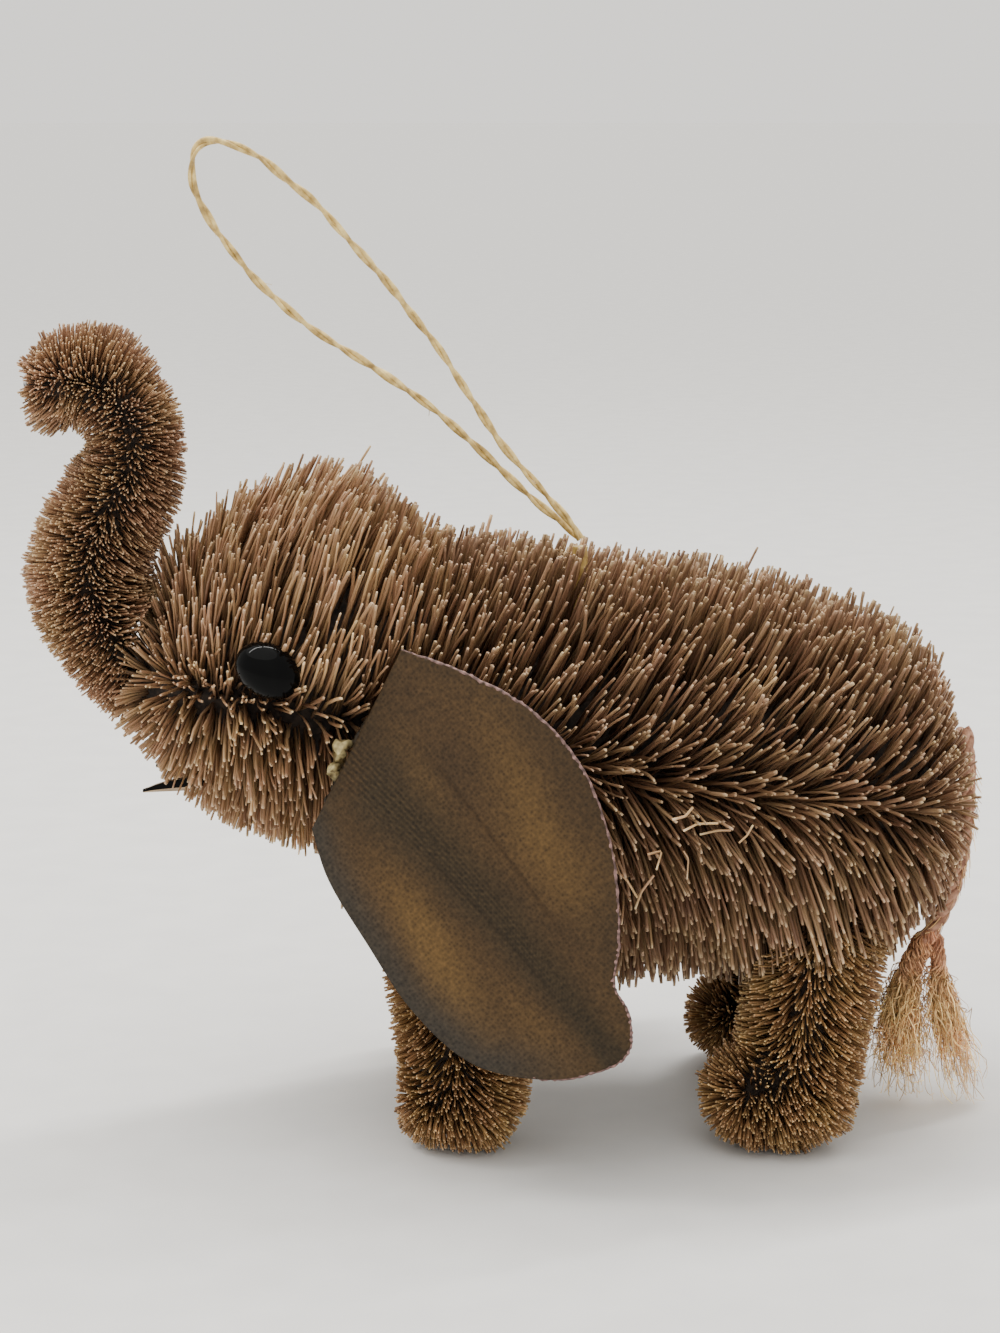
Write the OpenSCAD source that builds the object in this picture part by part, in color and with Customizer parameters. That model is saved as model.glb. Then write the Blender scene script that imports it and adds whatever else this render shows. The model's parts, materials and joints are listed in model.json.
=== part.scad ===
// A standing elephant made of trimmed bristle brushes, with leather ears and a raffia hanging loop.
// +X points to the rump, +Z up, and the left side faces -Y. The soles stand on Z = 0.

/* [Body brush] */
// Largest radius of the body brush
body_r = 34.2; // [32:0.1:34.5]
// Slope of the body's middle line, falling towards the rump, in degrees
body_slope = 5.3; // [4:0.1:6]

/* [Head brush] */
// Largest radius of the head brush
head_r = 29.8; // [28:0.1:30.5]
// Slope of the head's middle line, rising towards the neck, in degrees
head_slope = 5.7; // [4:0.1:7]
// Lean of the plane between head and body, in degrees
neck_lean = 17; // [14:1:20]

/* [Trunk brush] */
// Radius of the trunk brush at its tip
trunk_tip_r = 5.8; // [5.2:0.1:6.4]
// Radius of the trunk brush at its fullest
trunk_full_r = 10; // [9:0.1:10.3]

/* [Leg brushes] */
// Radius of a front leg's shaft
front_leg_r = 10.6; // [9.6:0.1:10.8]
// Radius of a rear leg's shaft
rear_leg_r = 11.2; // [10:0.1:11.5]
// Distance of each sole from the middle plane
leg_y = 20; // [18:0.5:21]

/* [Ears] */
// Thickness of the ear's leather
ear_t = 1; // [0.8:0.1:1.2]
// Flare of the ear away from the body, in degrees
ear_flare = 16; // [15:1:20]
// Height of the ear's outward bulge
ear_bulge = 2.75; // [2:0.25:3.5]

/* [Eyes and tusks] */
// Long diameter of the eye
eye_long = 10.5; // [9:0.5:11]
// Short diameter of the eye
eye_short = 8; // [6.6:0.2:8.4]
// Height of the eye's dome
eye_h = 3.5; // [2.5:0.25:4]
// Length of a tusk
tusk_l = 12.5; // [11:0.5:14]

/* [Wires and cords] */
// Radius of the twisted spine wire
spine_r = 1.1; // [0.9:0.1:1.3]
// Radius of the twisted wire in the legs and the trunk
limb_wire_r = 0.8; // [0.7:0.1:0.9]
// Diameter of the twisted raffia loop
loop_d = 1.4; // [1.2:0.1:1.6]
// Diameter of the tail cord
tail_d = 2.8; // [2.4:0.1:2.8]

/* [Hidden] */

smooth_fn = 72;
wire_fn = 20;
huge = 200;

// The spine wire runs straight from the head to the rump.
spine_front = [-50, 0, 70.5];
spine_rear = [68, 0, 51.9];
spine_fall = (spine_front[2] - spine_rear[2]) / (spine_rear[0] - spine_front[0]);
spine_angle = atan(spine_fall);
function spine_at(x) = [x, 0, spine_front[2] - (x - spine_front[0]) * spine_fall];

// Points on the middle lines where the brushes' stations start
body_start = [-26, 0, 61.2];
head_start = [-62.5, 0, 69.2];

// Stations of the body and head brushes: [radius as a share of the largest, distance along the line]
body_stations = [
    [0.58, 0], [0.76, 4], [0.89, 11], [0.97, 19], [1, 28], [1, 38], [0.985, 50], [0.955, 62],
    [0.9, 75], [0.83, 84], [0.72, 90.5], [0.56, 95.4], [0.34, 98.1], [0, 99]
];
head_stations = [
    [0, 0], [0.13, 0.6], [0.25, 2.5], [0.38, 5.5], [0.51, 9], [0.63, 13], [0.76, 17.5],
    [0.87, 22.5], [0.95, 28.5], [0.99, 35.5], [1, 42.5], [0.93, 47.5], [0.83, 52.5], [0.73, 57.5]
];

// The neck plane crosses the middle plane at this point.
neck = [-11.5, 0, 78];

// The trunk's middle line from inside the head to the tip, in the middle plane [x, z]
trunk_line = [
    [-53, 69.5], [-58, 74], [-62, 79.5], [-64.2, 86], [-63.4, 92], [-61, 97.5], [-58, 102.5],
    [-56.6, 107.5], [-58, 113], [-62.3, 117], [-67.5, 118], [-73.4, 116.9]
];
// Share of the way from the tip's radius to the full one, at each point of the line
trunk_fullness = [0.85, 0.85, 0.9, 1, 1, 0.85, 0.65, 0.45, 0.5, 0.5, 0.3, 0];
trunk_sides = 18;
trunk_steps = 2;
// How far the trunk wire lies above the spine wire where the two are bound together
splice_gap = spine_r + limb_wire_r;
splice_x = [-48, -40];
binding_r = 0.4;
binding_turns = 2;
binding_pitch = 1.6;

// Legs: [x of the shaft's top, x of the ankle, x of the toe's middle, x of the heel, shaft's radius]
front_leg = [-8.5, -6.3, -8, -4.4, front_leg_r];
rear_leg = [52, 46.7, 41, 46, rear_leg_r];
front_toe_r = 8.6;
rear_toe_r = 9.2;
leg_top_z = 41;
leg_top_y = 16.5;
ankle_z = 11;
heel_share = 0.94;
leg_taper = 0.94;
sole_sink = 0.7;
front_hooks = [-11, -7];
rear_hooks = [48, 52];

// Ear: the hinge line runs up from this point, leaning towards the rump.
ear_root = [-27.6, -27, 53];
ear_lean = 26.4;
ear_root_l = 30.6;
ear_bead_r = 0.6;
ear_groove_r = 0.9;
// Outline of the ear: [distance from the hinge line, height along it]
ear_outline = [
    [0, 30.6], [11, 32.4], [22.5, 32.4], [33, 28.5], [42, 20], [48.8, 9], [51.3, 2.4], [55.6, -1],
    [57.5, -7], [50.5, -14.4], [39, -18.4], [27, -16], [15.5, -10.4], [6, -5.3], [0, 0]
];
ear_span = 57.5;
// The leather follows a wide cylinder whose axis is parallel to the hinge line.
ear_bend_r = (pow(ear_span / 2, 2) + pow(ear_bulge, 2)) / (2 * ear_bulge);
ear_pocket = [-3.2, 0.9, 66];
ear_glue_w = 3;

// Eye: its middle on the side of the head, and the turn of its long axis
eye_at = [-34.1, -25.6, 77.1];
eye_tilt = 28;
eye_turn = [0, 11, 10];
eye_gap = 0.8;
eye_pad_r = 2.4;
eye_pad_l = 5;

// Tusk: its root inside the jaw and its direction
tusk_root = [-43, -7.5, 55.2];
tusk_turn = [4, 5];
tusk_root_r = 1.5;
tusk_tip_r = 0.25;

// The hanging loop leaves the back at this point and comes back beside it.
loop_root = [13.2, 0, 93.2];
loop_route = [
    [13.2, -1, 93.2], [11.5, -1, 96], [7.5, -1, 100.5], [3.5, -0.8, 105], [-0.5, -0.5, 110],
    [-6, 0, 118.5], [-10.5, 0, 125], [-18.5, 0, 135], [-24, 0, 141], [-28, 0, 145.5],
    [-32.5, 0, 149], [-36.5, 0, 152.3], [-41, 0, 154.3], [-44.5, 0, 154.5], [-46.4, 0, 152.5],
    [-46.6, 0, 148], [-44.5, 0, 143.5], [-42, 0, 139.5], [-38, 0, 134.5], [-33.5, 0, 130],
    [-29.5, 0, 126.7], [-24, 0, 123], [-18, 0, 119.3], [-12.5, 0, 115.5], [-8, 0.3, 112],
    [-2.5, 0.6, 107], [2.5, 0.8, 102.3], [6.5, 1, 98.6], [10.3, 1, 95.6], [13.2, 1, 93.2]
];
loop_rings_between = 2;
cord_sides = 8;
knot_gap = 1.3;

// The tail cord hangs from this point on the rump to where it divides.
tail_root = [74.6, 0, 62.5];
tail_route = [
    [74.6, 0, 62.5], [75.2, 0, 58], [75.4, 0, 52], [75.2, 0, 46], [74.5, 0, 40], [73, 0, 34.5],
    [71.1, 0, 30.5], [69.3, 0, 27.4]
];
tail_rings_between = 2;
// Each tassel hangs from the divide: [foot's x, radius at the top, radius of the frayed end]
tassel_top = [68.9, 0, 26.6];
tassel_foot_z = 3;
front_tassel_foot = [65, 0, tassel_foot_z];
rear_tassel_foot = [76, 0, tassel_foot_z];
tassel_r = [1.1, 1.5, 4];

straw = [0.55, 0.42, 0.31];
brown = [0.42, 0.29, 0.2];
hide = [0.33, 0.24, 0.17];
iron = [0.35, 0.34, 0.33];
amber = [0.8, 0.72, 0.42];
raffia = [0.8, 0.66, 0.38];
russet = [0.55, 0.32, 0.25];

// ---- Curves and sweeps ----

function catmull(a, b, c, d, t) =
    0.5 * (2 * b + (c - a) * t + (2 * a - 5 * b + 4 * c - d) * t * t
        + (3 * b - a - 3 * c + d) * t * t * t);

// A smooth open curve through the points p, with n steps between neighbours
function smooth_through(p, n) = [
    for (i = [0 : len(p) - 2], k = [0 : n - 1])
        catmull(p[max(i - 1, 0)], p[i], p[i + 1], p[min(i + 2, len(p) - 1)], k / n),
    p[len(p) - 1]
];

function unit(v) = v / norm(v);
function heading(p, i) = unit(p[min(i + 1, len(p) - 1)] - p[max(i - 1, 0)]);
function in_middle_plane(p) = [for (q = p) [q[0], 0, q[1]]];

// The direction across each point of the path p, carried along it without twisting
function carried(p) = [
    for (i = 0, a = unit(cross(heading(p, 0), [0, 1, 0])); i < len(p);
        i = i + 1, a = unit(a - (a * heading(p, i)) * heading(p, i)))
        a
];

// A closed tube along the path p with one radius for each point
module tube(p, radii, sides) {
    across = carried(p);
    points = [
        for (i = [0 : len(p) - 1], k = [0 : sides - 1])
            let (up = cross(across[i], heading(p, i)), turn = 360 * k / sides)
            p[i] + radii[i] * (cos(turn) * across[i] + sin(turn) * up)
    ];
    last = (len(p) - 1) * sides;
    walls = [
        for (i = [0 : len(p) - 2], k = [0 : sides - 1])
            let (a = i * sides + k, b = i * sides + (k + 1) % sides)
            each [[a, b, b + sides], [a, b + sides, a + sides]]
    ];
    start_cap = [for (k = [sides - 1 : -1 : 0]) k];
    end_cap = [for (k = [0 : sides - 1]) last + k];
    polyhedron(points = points, faces = concat(walls, [start_cap, end_cap]));
}

// A barrel around Z with its largest radius r, from stations of [share of r, height]
module barrel(r, stations) {
    edge = [for (s = smooth_through(stations, 2)) [max(s[0], 0) * r, s[1]]];
    rotate_extrude($fn = smooth_fn)
        polygon(concat(edge, [[0, edge[len(edge) - 1][1]], [0, edge[0][1]]]));
}

// A straight round bar from a to b
module bar(a, b, r) {
    run = b - a;
    translate(a)
        rotate([0, acos(run[2] / norm(run)), atan2(run[1], run[0])])
        cylinder(r = r, h = norm(run), $fn = wire_fn);
}

// Points of nearly a full turn around the spine wire, from its left side over the top
function turn_around_spine(x, r, pitch) = [
    for (k = [0 : 14])
        let (a = 180 - 22.5 * k)
        spine_at(x + pitch * k / 14) + r * [0, cos(a), sin(a)]
];

// A closed ring of fibre around the spine wire
module spine_ring(x, r) {
    translate(spine_at(x))
        rotate([0, 90 + spine_angle, 0])
        rotate_extrude($fn = 2 * wire_fn)
        translate([spine_r + r + 0.02, 0])
        circle(r = r, $fn = wire_fn);
}

module mirrored() {
    mirror([0, 1, 0])
        children();
}

// ---- Brushes ----

module body_shape() {
    translate(body_start)
        rotate([0, 90 + body_slope, 0])
        barrel(body_r, body_stations);
}

module head_shape() {
    translate(head_start)
        rotate([0, 90 - head_slope, 0])
        barrel(head_r, head_stations);
}

// Everything on the rump's side of the neck plane
module behind_neck() {
    translate(neck)
        rotate([0, neck_lean, 0])
        translate([0, -huge / 2, -huge / 2])
        cube(huge);
}

// Local frame of the left ear: Z up along the hinge line, X away from it, -Y outwards
module at_left_ear() {
    translate(ear_root)
        rotate([0, ear_lean, 0])
        rotate([0, 0, -ear_flare])
        children();
}

// The space that both ears lie in and swing through
module ear_pockets() {
    for (side = [0, 1])
        mirror([0, side, 0])
        at_left_ear()
        translate([ear_pocket[0], ear_pocket[1] - 40, -24])
        cube([ear_pocket[2], 40, 60]);
}

module body_bristles() {
    color(straw)
        difference() {
            intersection() {
                body_shape();
                behind_neck();
            }
            ear_pockets();
        }
}

module head_bristles() {
    color(straw)
        difference() {
            head_shape();
            behind_neck();
            ear_pockets();
        }
}

module trunk_bristles() {
    line = smooth_through(in_middle_plane(trunk_line), trunk_steps);
    fullness = smooth_through(trunk_fullness, trunk_steps);
    color(brown)
        difference() {
            tube(line, [for (f = fullness) trunk_tip_r + f * (trunk_full_r - trunk_tip_r)], trunk_sides);
            head_shape();
        }
}

// A left leg: a leaning shaft, a heel and a toe pointing forwards, cut flat at the sole
module leg_shape(leg, toe_r) {
    top = [leg[0], -leg_top_y, leg_top_z];
    ankle = [leg[1], -leg_y, ankle_z];
    run = top - ankle;
    heel_r = leg[4] * heel_share;
    heel = [leg[3], -leg_y, heel_r - sole_sink];
    toe = [leg[2], -leg_y, toe_r - sole_sink];
    intersection() {
        union() {
            translate(ankle)
                rotate([0, acos(run[2] / norm(run)), atan2(run[1], run[0])])
                cylinder(r1 = leg[4] * leg_taper, r2 = leg[4], h = norm(run), $fn = smooth_fn);
            translate(heel)
                sphere(r = heel_r, $fn = smooth_fn);
            translate(toe)
                sphere(r = toe_r, $fn = smooth_fn);
        }
        translate([leg[1] - 30, -leg_y - 30, 0])
            cube(60);
    }
}

module leg_bristles(leg, toe_r) {
    color(brown)
        difference() {
            leg_shape(leg, toe_r);
            body_shape();
        }
}

module front_left_leg_bristles() { leg_bristles(front_leg, front_toe_r); }
module front_right_leg_bristles() { mirrored() leg_bristles(front_leg, front_toe_r); }
module rear_left_leg_bristles() { leg_bristles(rear_leg, rear_toe_r); }
module rear_right_leg_bristles() { mirrored() leg_bristles(rear_leg, rear_toe_r); }

// ---- Wires ----

module spine_wire() {
    color(iron)
        bar(spine_front, spine_rear, spine_r);
}

module trunk_wire() {
    spliced = [for (x = [splice_x[1], splice_x[0]]) spine_at(x) + [0, 0, splice_gap + 0.05]];
    line = [for (i = [1 : len(trunk_line) - 1]) [trunk_line[i][0], 0, trunk_line[i][1]]];
    path = smooth_through(concat(spliced, line), trunk_steps);
    color(iron)
        tube(path, [for (q = path) limb_wire_r], cord_sides);
}

// Two turns of binding wire around the spine wire and the trunk wire beside it
module trunk_binding() {
    coil_r = spine_r + limb_wire_r + 2 * binding_r;
    steps = 16 * binding_turns;
    path = [
        for (k = [0 : steps])
            let (a = 360 * binding_turns * k / steps, x = splice_x[0] + 2 + binding_pitch * k / 16)
            spine_at(x) + [0, coil_r * cos(a), coil_r * sin(a) + splice_gap / 2]
    ];
    color(iron)
        tube(path, [for (q = path) binding_r], cord_sides);
}

// A left leg's wire, from the toe up to the spine wire and once around it
module leg_wire(leg, toe_r, hook_x) {
    low = toe_r - sole_sink;
    toe = [leg[2] - toe_r / 2, -leg_y, low];
    heel = [leg[1], -leg_y, low + 1.5];
    shin = [leg[1] + 0.4, -leg_y + 0.3, low + 6];
    top = [leg[0], -leg_top_y, leg_top_z];
    turn = turn_around_spine(hook_x, spine_r + limb_wire_r + 0.05, 2.2 * limb_wire_r);
    path = concat(smooth_through([toe, heel, shin, top, turn[0] - [0, 0, 4]], 3), turn);
    color(iron)
        tube(path, [for (q = path) limb_wire_r], cord_sides);
}

module front_left_leg_wire() { leg_wire(front_leg, front_toe_r, front_hooks[0]); }
module front_right_leg_wire() { mirrored() leg_wire(front_leg, front_toe_r, front_hooks[1]); }
module rear_left_leg_wire() { leg_wire(rear_leg, rear_toe_r, rear_hooks[0]); }
module rear_right_leg_wire() { mirrored() leg_wire(rear_leg, rear_toe_r, rear_hooks[1]); }

// ---- Ears ----

module ear() {
    color(hide)
        at_left_ear() {
            intersection() {
                rotate([90, 0, 0])
                    linear_extrude(16, center = true)
                    polygon(smooth_through(ear_outline, 4));
                translate([ear_span / 2, ear_bend_r - ear_bulge, -24])
                    difference() {
                        cylinder(r = ear_bend_r + ear_t / 2, h = 60, $fn = 6 * smooth_fn);
                        translate([0, 0, -1])
                            cylinder(r = ear_bend_r - ear_t / 2, h = 62, $fn = 6 * smooth_fn);
                    }
            }
            cylinder(r = ear_bead_r, h = ear_root_l, $fn = wire_fn);
        }
}

// The glue bar along the ear's rolled front edge, with a groove that the edge turns in
module ear_glue() {
    color(amber)
        at_left_ear()
        difference() {
            translate([-ear_glue_w, -1.1, 1])
                cube([ear_glue_w - 0.2, 8, ear_root_l - 2]);
            cylinder(r = ear_groove_r, h = 3 * ear_root_l, center = true, $fn = wire_fn);
        }
}

module left_ear() { ear(); }
module right_ear() { mirrored() ear(); }
module left_ear_glue() { ear_glue(); }
module right_ear_glue() { mirrored() ear_glue(); }

// ---- Eyes and tusks ----

// Local frame of the left eye: Z points out of the head
module at_left_eye() {
    translate(eye_at)
        rotate([0, 0, -eye_turn[2]])
        rotate([90 - eye_turn[1], 0, 0])
        children();
}

// A flat-backed oval dome, built up from thin rings of a half ellipse
module eye() {
    rings = 8;
    color([0.02, 0.02, 0.02])
        at_left_eye()
        translate([0, 0, eye_gap])
        rotate([0, 0, -eye_tilt])
        resize([eye_long, eye_short, eye_h])
        rotate_extrude($fn = 40)
        polygon([[0, 0], for (k = [0 : rings]) [cos(90 * k / rings), 0.15 + sin(90 * k / rings)]]);
}

module eye_glue() {
    color(amber)
        at_left_eye()
        translate([0, 0, eye_gap - eye_pad_l])
        cylinder(r = eye_pad_r, h = eye_pad_l, $fn = smooth_fn / 2);
}

module left_eye() { eye(); }
module right_eye() { mirrored() eye(); }
module left_eye_glue() { eye_glue(); }
module right_eye_glue() { mirrored() eye_glue(); }

module tusk() {
    color(hide)
        translate(tusk_root)
        rotate([0, 0, tusk_turn[1]])
        rotate([0, -90 + tusk_turn[0], 0])
        cylinder(r1 = tusk_root_r, r2 = tusk_tip_r, h = tusk_l, $fn = smooth_fn / 2);
}

module left_tusk() { tusk(); }
module right_tusk() { mirrored() tusk(); }

// ---- Hanging loop and tail ----

// Raffia tied around the spine wire and led up to just under the back's surface
module loop_knot() {
    foot = spine_at(loop_root[0]) + [0, 0, spine_r + 2 * limb_wire_r];
    color(raffia) {
        bar(foot, loop_root - [0, 0, knot_gap], 1.2);
        spine_ring(loop_root[0], limb_wire_r + 0.3);
    }
}

module hanging_loop() {
    path = smooth_through(loop_route, loop_rings_between);
    color(raffia)
        tube(path, [for (q = path) loop_d / 2], cord_sides);
}

// Fibre tied around the spine wire's rear end and led to just under the rump's surface
module tail_knot() {
    tie = spine_at(64);
    color(russet) {
        bar(tie + [0, 0, 3], tail_root - [4.5, 0, 0.5], 1.3);
        spine_ring(64, 1);
    }
}

module tail_cord() {
    path = smooth_through(tail_route, tail_rings_between);
    color(russet)
        tube(path, [for (q = path) tail_d / 2], cord_sides);
}

// A tassel that widens from the divide to its frayed foot
module tassel(foot) {
    run = foot - tassel_top;
    color(amber)
        translate(tassel_top)
        rotate([0, acos(run[2] / norm(run)), atan2(run[1], run[0])])
        rotate_extrude($fn = 2 * wire_fn)
        polygon([[0, 0.4], [tassel_r[0], 0.6], [tassel_r[1], norm(run) * 0.5], [tassel_r[2], norm(run)],
            [0, norm(run)]]);
}

module front_tassel() { tassel(front_tassel_foot); }
module rear_tassel() { tassel(rear_tassel_foot); }

body_bristles();
head_bristles();
trunk_bristles();
front_left_leg_bristles();
front_right_leg_bristles();
rear_left_leg_bristles();
rear_right_leg_bristles();
spine_wire();
trunk_wire();
trunk_binding();
front_left_leg_wire();
front_right_leg_wire();
rear_left_leg_wire();
rear_right_leg_wire();
left_ear();
right_ear();
left_ear_glue();
right_ear_glue();
left_eye();
right_eye();
left_eye_glue();
right_eye_glue();
left_tusk();
right_tusk();
loop_knot();
hanging_loop();
tail_knot();
tail_cord();
front_tassel();
rear_tassel();
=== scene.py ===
import json
import math

import bpy
import numpy as np
from mathutils import Matrix, Vector
from mathutils.bvhtree import BVHTree
from mathutils.geometry import delaunay_2d_cdt
from mathutils.kdtree import KDTree


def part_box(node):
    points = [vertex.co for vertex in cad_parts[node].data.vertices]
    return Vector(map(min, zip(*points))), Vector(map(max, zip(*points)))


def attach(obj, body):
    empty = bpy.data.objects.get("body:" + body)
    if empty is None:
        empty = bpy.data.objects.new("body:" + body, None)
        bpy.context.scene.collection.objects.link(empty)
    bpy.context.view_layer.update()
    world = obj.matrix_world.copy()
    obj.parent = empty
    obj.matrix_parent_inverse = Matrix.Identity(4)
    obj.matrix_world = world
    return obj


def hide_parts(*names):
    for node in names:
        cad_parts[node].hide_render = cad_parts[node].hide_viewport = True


MM = 0.001
SIDES = ("left", "right")
SEED = 7

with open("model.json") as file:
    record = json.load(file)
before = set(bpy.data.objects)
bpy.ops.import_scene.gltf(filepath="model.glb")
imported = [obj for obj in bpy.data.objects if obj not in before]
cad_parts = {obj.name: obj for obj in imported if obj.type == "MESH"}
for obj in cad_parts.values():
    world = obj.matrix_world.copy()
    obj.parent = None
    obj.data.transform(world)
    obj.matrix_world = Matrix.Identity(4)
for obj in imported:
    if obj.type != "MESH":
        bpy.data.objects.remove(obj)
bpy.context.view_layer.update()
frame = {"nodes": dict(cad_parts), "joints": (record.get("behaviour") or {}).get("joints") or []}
rng = np.random.default_rng(SEED)


# ---- Camera and stage ----

LOOK_DOWN = math.radians(11)
CAMERA_AWAY = 450 * MM
LOOK_AT = Vector((0.6 * MM, 0, 72.6 * MM))


def make_camera():
    data = bpy.data.cameras.new("camera")
    data.sensor_width = 36
    data.lens = 76.57
    data.clip_start = 0.01
    camera = bpy.data.objects.new("camera", data)
    back = Vector((0, -math.cos(LOOK_DOWN), math.sin(LOOK_DOWN)))
    camera.location = LOOK_AT + CAMERA_AWAY * back
    camera.rotation_euler = (math.pi / 2 - LOOK_DOWN, 0, 0)
    bpy.context.collection.objects.link(camera)
    bpy.context.scene.camera = camera


def aim_light(name, kind, place, power, colour, **settings):
    """A light at that place, aimed at the middle of the object."""
    data = bpy.data.lights.new(name, kind)
    data.energy = power
    data.color = colour
    for setting, value in settings.items():
        setattr(data, setting, value)
    light = bpy.data.objects.new(name, data)
    light.location = place
    light.rotation_euler = (LOOK_AT - Vector(place)).to_track_quat("-Z", "Y").to_euler()
    bpy.context.collection.objects.link(light)


def make_lights():
    """A pale room: even light from all round, a soft sun from above and a long lamp over the object."""
    warm = (1, 0.98, 0.95)
    aim_light("sky light", "SUN", (-0.25, -0.12, 1), 1.45, warm, angle=math.radians(70))
    aim_light("ceiling lamp", "AREA", (-0.1, 0.2, 0.85), 10, warm,
              shape="RECTANGLE", size=1.4, size_y=0.03)
    world = bpy.data.worlds.new("pale room")
    world.use_nodes = True
    background = world.node_tree.nodes["Background"]
    background.inputs["Color"].default_value = (1, 0.975, 0.925, 1)
    background.inputs["Strength"].default_value = 1.3
    bpy.context.scene.world = world


def make_floor():
    half = 60
    mesh = bpy.data.meshes.new("floor")
    corners = [(-half, -half, 0), (half, -half, 0), (half, half, 0), (-half, half, 0)]
    mesh.from_pydata(corners, [], [(0, 1, 2, 3)])
    floor = bpy.data.objects.new("floor", mesh)
    bpy.context.collection.objects.link(floor)
    mesh.materials.append(cloudy_material("pale floor", (0.62, 0.615, 0.59), 0.6, 9,
                                          [(0.3, (0.7, 0.695, 0.68)), (0.7, (0.74, 0.735, 0.72))]))


# ---- Materials ----


def new_material(name, colour, roughness, **sockets):
    """A Principled material with its plain values set on the shader's own sockets."""
    material = bpy.data.materials.new(name)
    material.use_nodes = True
    inputs = shader_inputs(material)
    inputs["Base Color"].default_value = (*colour, 1)
    inputs["Roughness"].default_value = roughness
    for socket, value in sockets.items():
        inputs[socket.replace("_", " ")].default_value = value
    return material


def shader_inputs(material):
    return material.node_tree.nodes["Principled BSDF"].inputs


def pattern(material, kind, scale, stretch=(1, 1, 1), turn=(0, 0, 0), place=None):
    """A texture with scale repeats per decimetre, in the piece's own space or by a vector it carries."""
    nodes, links = material.node_tree.nodes, material.node_tree.links
    if place is None:
        where = nodes.new("ShaderNodeTexCoord").outputs["Object"]
    else:
        named = nodes.new("ShaderNodeAttribute")
        named.attribute_name = place
        where = named.outputs["Vector"]
    mapping = nodes.new("ShaderNodeMapping")
    mapping.inputs["Scale"].default_value = stretch
    mapping.inputs["Rotation"].default_value = turn
    texture = nodes.new(kind)
    texture.inputs["Scale"].default_value = scale * 10
    links.new(where, mapping.inputs["Vector"])
    links.new(mapping.outputs["Vector"], texture.inputs["Vector"])
    return texture


def noise(material, scale, detail=2, stretch=(1, 1, 1)):
    """A cloudy pattern's value, from 0 to 1."""
    texture = pattern(material, "ShaderNodeTexNoise", scale, stretch)
    texture.inputs["Detail"].default_value = detail
    return texture.outputs["Fac"]


def ramp(value, stops):
    """A colour ramp over value, from stops of (position, colour)."""
    tree = value.id_data
    node = tree.nodes.new("ShaderNodeValToRGB")
    while len(node.color_ramp.elements) < len(stops):
        node.color_ramp.elements.new(0.5)
    for element, (position, colour) in zip(node.color_ramp.elements, stops):
        element.position = position
        element.color = (*colour, 1)
    tree.links.new(value, node.inputs["Fac"])
    return node.outputs["Color"]


def mix(how, amount, first, second):
    """A colour socket mixed with another or a plain colour. amount is a number or a socket."""
    tree = first.id_data
    node = tree.nodes.new("ShaderNodeMix")
    node.data_type = "RGBA"
    node.blend_type = how
    tree.links.new(first, node.inputs[6])
    if isinstance(amount, float):
        node.inputs["Factor"].default_value = amount
    else:
        tree.links.new(amount, node.inputs["Factor"])
    if isinstance(second, tuple):
        node.inputs[7].default_value = (*second, 1)
    else:
        tree.links.new(second, node.inputs[7])
    return node.outputs[2]


def attribute(material, name):
    node = material.node_tree.nodes.new("ShaderNodeAttribute")
    node.attribute_name = name
    return node.outputs["Fac"]


def paint(material, colour):
    material.node_tree.links.new(colour, shader_inputs(material)["Base Color"])


def colour_between(material, value, stops):
    """Paints the material with a colour ramp over value."""
    paint(material, ramp(value, stops))


def bump(material, height, strength, distance):
    nodes, links = material.node_tree.nodes, material.node_tree.links
    node = nodes.new("ShaderNodeBump")
    node.inputs["Strength"].default_value = strength
    node.inputs["Distance"].default_value = distance
    links.new(height, node.inputs["Height"])
    links.new(node.outputs["Normal"], shader_inputs(material)["Normal"])


def cloudy_material(name, plain, roughness, scale, stops, detail=2, stretch=(1, 1, 1), relief=0,
                    **sockets):
    """A material whose colour changes with a cloudy pattern, which may also stand out in relief."""
    material = new_material(name, plain, roughness, **sockets)
    cloud = noise(material, scale, detail, stretch)
    colour_between(material, cloud, stops)
    if relief:
        bump(material, cloud, 0.5, relief)
    return material


def fibre_material(name, root, shaft, tip, roughness=0.5):
    """Plant fibre: dark at the root, partly its own colour and partly painted shade of the brush's
    depths, pale at the cut tip, and each fibre its own shade.
    """
    material = new_material(name, shaft, roughness, Specular_IOR_Level=0.35)
    # The darkening towards the root is partly painted shade of the packed pile.
    middle = tuple(0.45 * (a + b) for a, b in zip(root, shaft))
    lengthwise = ramp(attribute(material, "along"),
                      [(0, root), (0.35, middle), (0.75, shaft), (0.95, shaft), (0.99, tip)])
    tint = ramp(attribute(material, "shade"),
                [(0, (0.4, 0.32, 0.28)), (0.3, (0.78, 0.68, 0.6)), (0.6, (1, 0.96, 0.9)),
                 (0.85, (1.35, 1.3, 1.15)), (1, (1.9, 1.9, 1.7))])
    tone = ramp(noise(material, 18), [(0.38, (1.02, 0.97, 0.98)), (0.62, (0.97, 1.0, 0.89))])
    fibre = mix("MULTIPLY", 1.0, lengthwise, tint)
    paint(material, mix("MULTIPLY", 1.0, fibre, tone))
    return material


# ---- Curves and meshes ----


def unit(vectors):
    return vectors / np.maximum(np.linalg.norm(vectors, axis=-1, keepdims=True), 1e-12)


def dot(a, b):
    return (a * b).sum(-1, keepdims=True)


def smooth(points, steps):
    """Points of a Catmull-Rom curve through the given ones, with steps of them in each gap."""
    p = np.array(points, float)
    padded = np.concatenate([2 * p[:1] - p[1:2], p, 2 * p[-1:] - p[-2:-1]])
    t = np.arange(steps)[:, None] / steps
    made = []
    for a, b, c, d in zip(padded, padded[1:], padded[2:], padded[3:]):
        made.append(0.5 * (2 * b + (c - a) * t + (2 * a - 5 * b + 4 * c - d) * t**2
                           + (3 * b - a - 3 * c + d) * t**3))
    return np.concatenate([*made, p[-1:]])


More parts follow.
